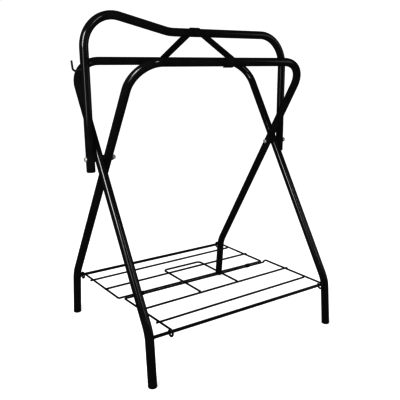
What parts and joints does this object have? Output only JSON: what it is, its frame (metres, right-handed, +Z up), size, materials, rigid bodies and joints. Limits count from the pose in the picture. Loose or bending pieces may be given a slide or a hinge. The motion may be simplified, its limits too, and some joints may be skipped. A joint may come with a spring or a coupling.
{
  "type": "folding saddle rack",
  "caption": "Folding saddle rack of bent black tube with crossing leg frames, a raised-pommel ridge, a strap brace, a bridle hook and a folding wire tray.",
  "frame": {"origin": "middle of the rack on the floor", "axes": "+X along the ridge, away from the raised pommel end; +Y towards the rear rail; +Z up"},
  "size_m": [0.8056, 0.6024, 1.0132],
  "materials": {
    "black_powder_coat": "gloss powder coat",
    "zinc_plate": "zinc plate",
    "black_plastic": "moulded",
    "nylon": "moulded nylon"
  },
  "bodies": {
    "front_rail_assembly": {"front_rail_frame": "black_powder_coat", "rear_cross_rod": "black_powder_coat", "rear_left_foot_plug": "black_plastic", "rear_right_foot_plug": "black_plastic", "left_pivot_bolt": "zinc_plate", "right_pivot_bolt": "zinc_plate", "left_lock_nut": "zinc_plate", "right_lock_nut": "zinc_plate", "left_pivot_washer": "zinc_plate", "right_pivot_washer": "zinc_plate", "left_inner_spacer": "nylon", "right_inner_spacer": "nylon", "left_outer_spacer": "nylon", "right_outer_spacer": "nylon"},
    "rear_rail_assembly": {"rear_rail_frame": "black_powder_coat", "front_cross_rod": "black_powder_coat", "front_left_foot_plug": "black_plastic", "front_right_foot_plug": "black_plastic"},
    "ridge_assembly": {"ridge_frame": "black_powder_coat", "centre_brace": "black_powder_coat", "bridle_hook": "black_powder_coat", "left_ridge_end_plug": "black_plastic", "right_ridge_end_plug": "black_plastic"},
    "rear_tray_half": {"rear_tray_outline": "black_powder_coat", "rear_tray_inner_wire": "black_powder_coat", "rear_tray_outer_wire": "black_powder_coat", "left_hinge_clip": "black_powder_coat", "right_hinge_clip": "black_powder_coat"},
    "front_tray_half": {"front_tray_outline": "black_powder_coat", "front_tray_inner_wire": "black_powder_coat", "front_tray_outer_wire": "black_powder_coat", "tray_handle_loop": "black_powder_coat"}
  },
  "joints": [
    {"name": "fold", "type": "hinge", "parent": "front_rail_assembly", "child": "rear_rail_assembly", "pos_m": [0.01092, 0, 0.595], "axis": [1, 0, 0], "range_deg": [0, 55.6]},
    {"name": "ridge_turn", "type": "hinge", "parent": "front_rail_assembly", "child": "ridge_assembly", "pos_m": [0.01092, 0, 0.595], "axis": [1, 0, 0], "range_deg": [0, 27.8]},
    {"name": "rear_tray_turn", "type": "hinge", "parent": "front_rail_assembly", "child": "rear_tray_half", "pos_m": [0.01092, 0.275, 0.138], "axis": [1, 0, 0], "range_deg": [-55.6, 0]},
    {"name": "front_tray_turn", "type": "hinge", "parent": "rear_tray_half", "child": "front_tray_half", "pos_m": [0.01092, 0, 0.13975], "axis": [1, 0, 0], "range_deg": [0, 166.8]}
  ],
  "couplings": [
    {"joint": "ridge_turn", "follows": "fold", "ratio": 0.5},
    {"joint": "rear_tray_turn", "follows": "fold", "ratio": -0.99905},
    {"joint": "front_tray_turn", "follows": "fold", "ratio": 2.9981}
  ]
}
